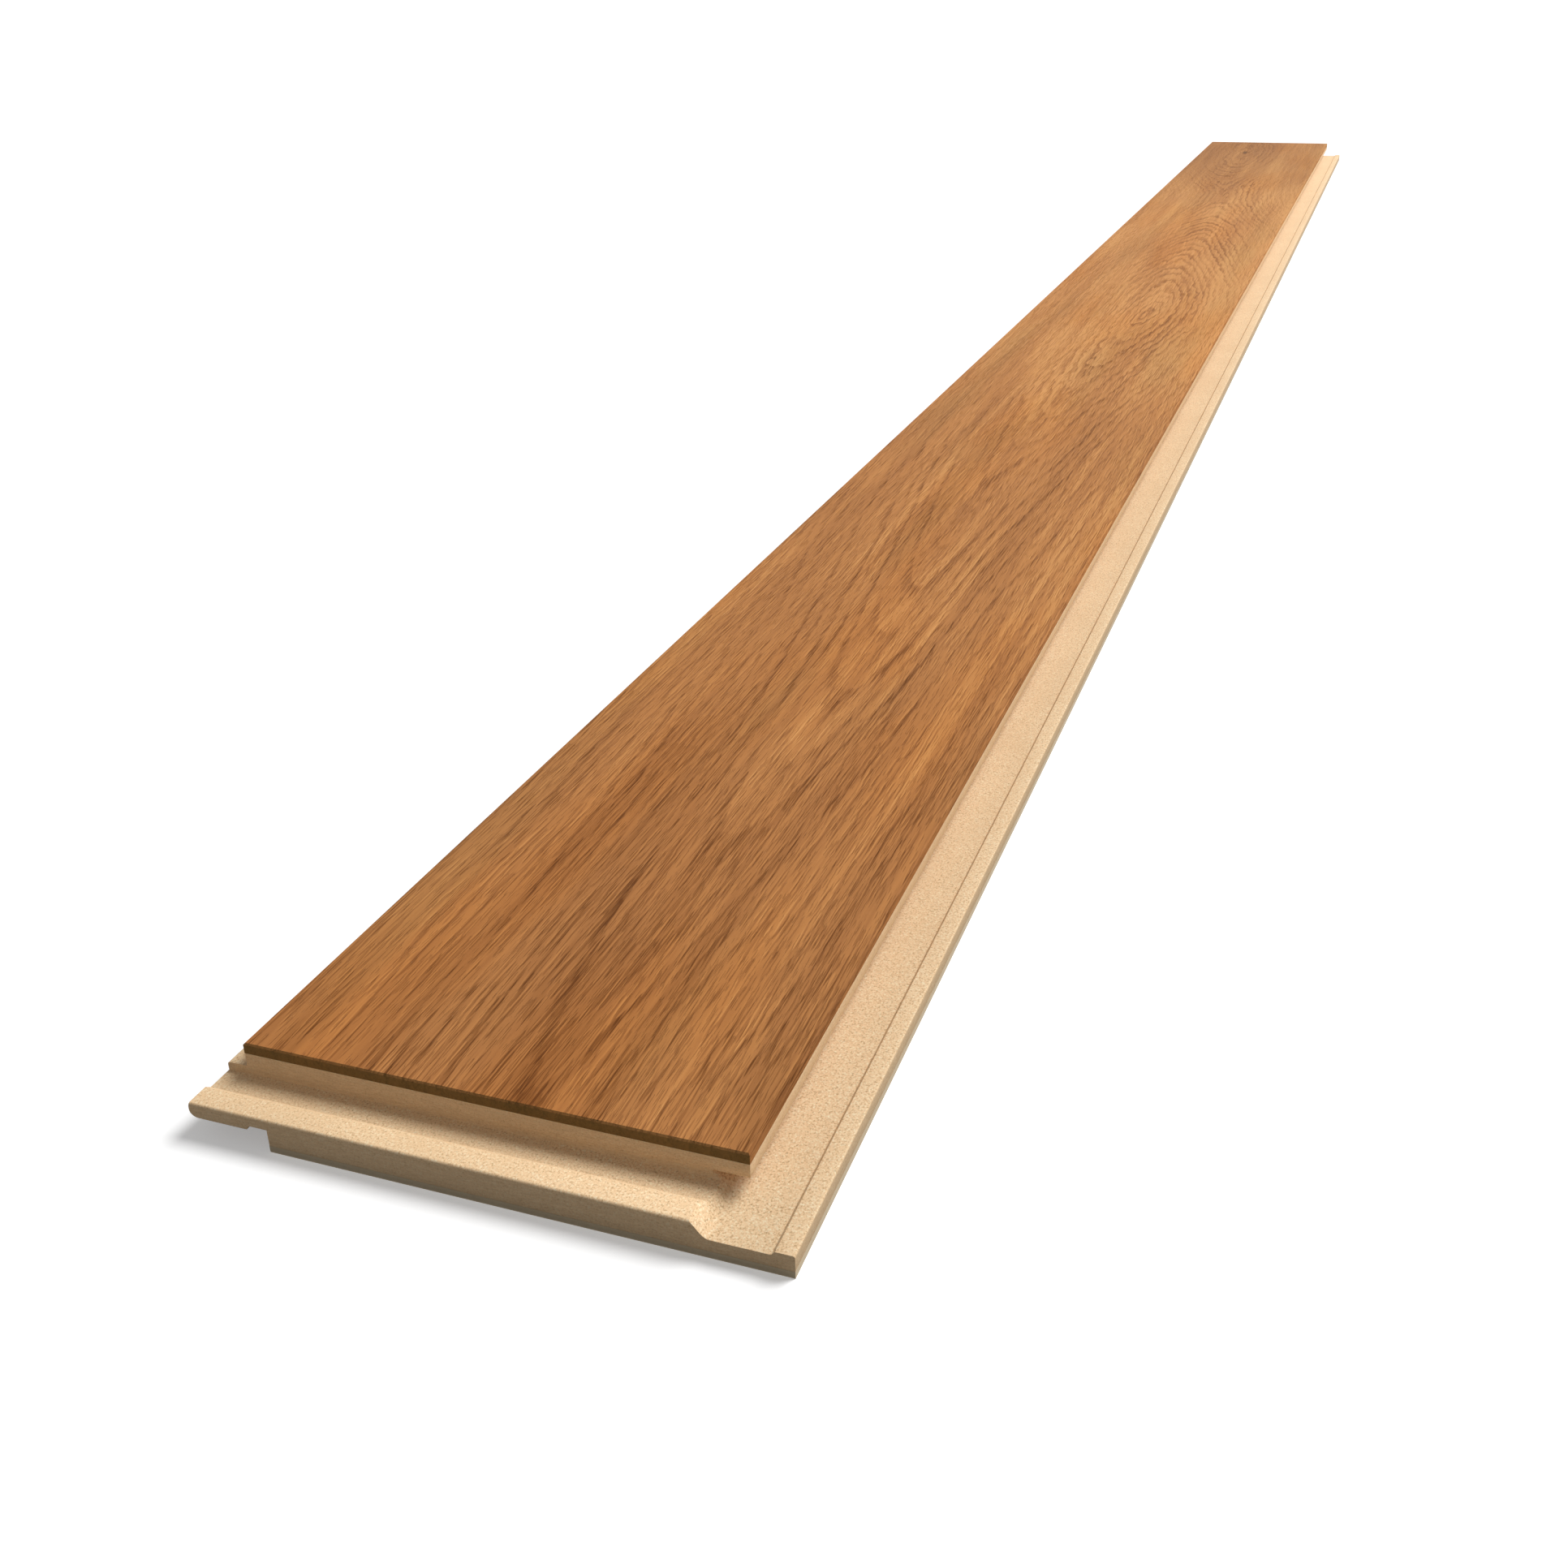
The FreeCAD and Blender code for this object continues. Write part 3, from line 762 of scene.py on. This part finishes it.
class FLOORBOARD_OT_stage(bpy.types.Operator):
    """Set the white floor, the soft lights and the camera"""
    bl_idname = "floorboard.stage"
    bl_label = "Studio"

    def execute(self, context):
        studio = context.scene.floorboard.studio
        scene = context.scene
        scene.view_settings.view_transform = "Standard"
        self.lay_floor(studio)
        self.light_sky(scene, studio)
        key = bpy.data.objects.new("key_light", bpy.data.lights.new("key_light", "SUN"))
        key.data.energy = studio.key_strength
        key.data.angle = studio.key_spread
        key.rotation_euler = Vector(studio.key_from).to_track_quat("Z", "Y").to_euler()
        scene.collection.objects.link(key)
        camera = bpy.data.objects.new("camera", bpy.data.cameras.new("camera"))
        camera.location = studio.camera_place
        camera.rotation_euler = studio.camera_turn
        camera.data.lens = studio.focal_length
        camera.data.sensor_width = SENSOR_WIDTH
        camera.data.clip_start = CLIP_NEAR
        camera.data.clip_end = CLIP_FAR
        scene.collection.objects.link(camera)
        scene.camera = camera
        return {"FINISHED"}

    def lay_floor(self, studio):
        """A white floor that keeps the board's shadow, clear from below and where the board touches it."""
        half = studio.floor_size / 2
        mesh = bpy.data.meshes.new("studio_floor")
        corners = ((-half, -half), (half, -half), (half, half), (-half, half))
        mesh.from_pydata([(x, y, -FLOOR_DROP) for x, y in corners], [], [(0, 1, 2, 3)])
        floor = bpy.data.objects.new("studio_floor", mesh)
        bpy.context.scene.collection.objects.link(floor)
        paint = bpy.data.materials.new("studio_floor")
        paint.use_nodes = True
        nodes = paint.node_tree.nodes
        links = paint.node_tree.links
        nodes.clear()
        path = nodes.new("ShaderNodeLightPath")
        shade = nodes.new("ShaderNodeBsdfDiffuse")
        tint = nodes.new("ShaderNodeMix")
        tint.data_type = "RGBA"
        tint.inputs[6].default_value = FLOOR_SHADE
        tint.inputs[7].default_value = FLOOR_SEEN
        seen = self.seen(nodes, links, path)
        links.new(seen, tint.inputs["Factor"])
        links.new(tint.outputs[2], shade.inputs["Color"])
        glow = nodes.new("ShaderNodeEmission")
        lift = nodes.new("ShaderNodeMath")
        lift.operation = "MULTIPLY"
        lift.inputs[1].default_value = FLOOR_LIFT
        links.new(seen, lift.inputs[0])
        links.new(lift.outputs[0], glow.inputs["Strength"])
        both = nodes.new("ShaderNodeAddShader")
        links.new(shade.outputs[0], both.inputs[0])
        links.new(glow.outputs[0], both.inputs[1])
        sides = nodes.new("ShaderNodeNewGeometry")
        touching = nodes.new("ShaderNodeMath")
        touching.operation = "LESS_THAN"
        touching.inputs[1].default_value = FLOOR_TOUCH
        links.new(path.outputs["Ray Length"], touching.inputs[0])
        through = nodes.new("ShaderNodeMath")
        through.operation = "MAXIMUM"
        links.new(sides.outputs["Backfacing"], through.inputs[0])
        links.new(touching.outputs[0], through.inputs[1])
        clear = nodes.new("ShaderNodeBsdfTransparent")
        pick = nodes.new("ShaderNodeMixShader")
        links.new(through.outputs[0], pick.inputs[0])
        links.new(both.outputs[0], pick.inputs[1])
        links.new(clear.outputs[0], pick.inputs[2])
        output = nodes.new("ShaderNodeOutputMaterial")
        links.new(pick.outputs[0], output.inputs["Surface"])
        mesh.materials.append(paint)

    def light_sky(self, scene, studio):
        """Even soft light from all round, white where it is seen."""
        sky = bpy.data.worlds.new("studio_sky")
        sky.use_nodes = True
        scene.world = sky
        nodes = sky.node_tree.nodes
        links = sky.node_tree.links
        nodes.clear()
        path = nodes.new("ShaderNodeLightPath")
        seen = self.seen(nodes, links, path)
        level = nodes.new("ShaderNodeMapRange")
        level.inputs["To Min"].default_value = studio.sky_strength
        level.inputs["To Max"].default_value = 1.0
        links.new(seen, level.inputs["Value"])
        light = nodes.new("ShaderNodeBackground")
        light.inputs["Color"].default_value = WHITE
        links.new(level.outputs[0], light.inputs["Strength"])
        output = nodes.new("ShaderNodeOutputWorld")
        links.new(light.outputs[0], output.inputs["Surface"])

    def seen(self, nodes, links, path):
        """One for a ray that shows the background: straight, in gloss or through glass."""
        found = path.outputs[SEEN_RAYS[0]]
        for name in SEEN_RAYS[1:]:
            larger = nodes.new("ShaderNodeMath")
            larger.operation = "MAXIMUM"
            links.new(found, larger.inputs[0])
            links.new(path.outputs[name], larger.inputs[1])
            found = larger.outputs[0]
        return found


class FLOORBOARD_PT_sidebar(bpy.types.Panel):
    """Pieces of the floorboard and its studio"""
    bl_idname = "FLOORBOARD_PT_sidebar"
    bl_label = "Floorboard"
    bl_space_type = "VIEW_3D"
    bl_region_type = "UI"
    bl_category = "Floorboard"

    def draw(self, context):
        settings = context.scene.floorboard
        for operator, group in ((FLOORBOARD_OT_face_veneer, settings.veneer),
                                (FLOORBOARD_OT_core_board, settings.core),
                                (FLOORBOARD_OT_backing_veneer, settings.backing),
                                (FLOORBOARD_OT_stage, settings.studio)):
            box = self.layout.box()
            box.operator(operator.bl_idname)
            for name in group.__annotations__:
                box.prop(group, name)


CLASSES = (
    FaceVeneerSettings, CoreBoardSettings, BackingVeneerSettings, StudioSettings, FloorboardSettings,
    FLOORBOARD_OT_face_veneer, FLOORBOARD_OT_core_board, FLOORBOARD_OT_backing_veneer,
    FLOORBOARD_OT_stage, FLOORBOARD_PT_sidebar,
)


def register():
    """Add the settings, the operators and the panel."""
    for item in CLASSES:
        bpy.utils.register_class(item)
    bpy.types.Scene.floorboard = PointerProperty(
        type=FloorboardSettings, name="Floorboard", description="Settings of the floorboard and its studio")


def unregister():
    """Take them off again."""
    del bpy.types.Scene.floorboard
    for item in reversed(CLASSES):
        bpy.utils.unregister_class(item)


def main():
    """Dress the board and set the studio."""
    register()
    bpy.ops.floorboard.face_veneer()
    bpy.ops.floorboard.core_board()
    bpy.ops.floorboard.backing_veneer()
    bpy.ops.floorboard.stage()


if __name__ == "__main__":
    main()
